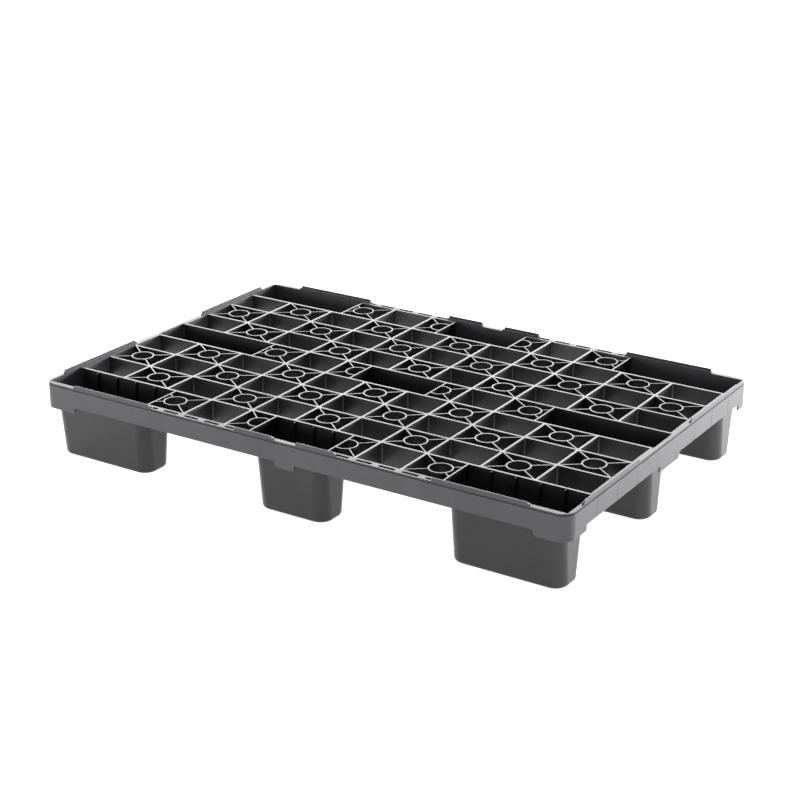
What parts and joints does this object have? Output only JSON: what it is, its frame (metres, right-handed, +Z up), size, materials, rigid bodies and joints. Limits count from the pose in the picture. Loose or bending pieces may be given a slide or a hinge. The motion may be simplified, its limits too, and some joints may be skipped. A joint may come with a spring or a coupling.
{
  "type": "plastic pallet",
  "caption": "Nestable open-deck plastic pallet with a ribbed grid deck, hollow tapered feet, an outer skirt and low edge lips.",
  "frame": {"origin": "middle of the footprint, on the floor under the feet", "axes": "+X along the long side, +Y along the short side, +Z up"},
  "size_m": [1.2, 0.8, 0.165],
  "materials": {
    "deck_plastic": "satin recycled plastic, rubbed on the rib tops",
    "rim_plastic": "satin recycled plastic with faint flow marks",
    "foot_plastic": "satin recycled plastic"
  },
  "bodies": {
    "root": {"cross_rib_01": "deck_plastic", "cross_rib_02": "deck_plastic", "cross_rib_03": "deck_plastic", "cross_rib_04": "deck_plastic", "cross_rib_05": "deck_plastic", "cross_rib_06": "deck_plastic", "cross_rib_07": "deck_plastic", "cross_rib_08": "deck_plastic", "cross_rib_09": "deck_plastic", "cross_rib_10": "deck_plastic", "foot_back_centre": "foot_plastic", "foot_back_left": "foot_plastic", "foot_back_right": "foot_plastic", "foot_front_centre": "foot_plastic", "foot_front_left": "foot_plastic", "foot_front_right": "foot_plastic", "foot_middle_centre": "foot_plastic", "foot_middle_left": "foot_plastic", "foot_middle_right": "foot_plastic", "lip_back_1": "rim_plastic", "lip_back_2": "rim_plastic", "lip_back_3": "rim_plastic", "lip_back_4": "rim_plastic", "lip_front_1": "rim_plastic", "lip_front_2": "rim_plastic", "lip_front_3": "rim_plastic", "lip_front_4": "rim_plastic", "lip_left_1": "rim_plastic", "lip_left_2": "rim_plastic", "lip_right_1": "rim_plastic", "lip_right_2": "rim_plastic", "long_rib_1": "deck_plastic", "long_rib_2": "deck_plastic", "long_rib_3": "deck_plastic", "long_rib_4": "deck_plastic", "long_rib_5": "deck_plastic", "long_rib_6": "deck_plastic", "long_rib_7": "deck_plastic", "long_rib_8": "deck_plastic", "rim_back": "rim_plastic", "rim_corner_back_left": "rim_plastic", "rim_corner_back_right": "rim_plastic", "rim_corner_front_left": "rim_plastic", "rim_corner_front_right": "rim_plastic", "rim_front": "rim_plastic", "rim_left": "rim_plastic", "rim_right": "rim_plastic", "ring_cells_row_1": "deck_plastic", "ring_cells_row_2": "deck_plastic", "ring_cells_row_3": "deck_plastic", "ring_cells_row_4": "deck_plastic", "ring_cells_row_5": "deck_plastic", "ring_cells_row_6": "deck_plastic", "ring_cells_row_7": "deck_plastic", "ring_cells_row_8": "deck_plastic", "ring_cells_row_9": "deck_plastic"}
  },
  "joints": []
}
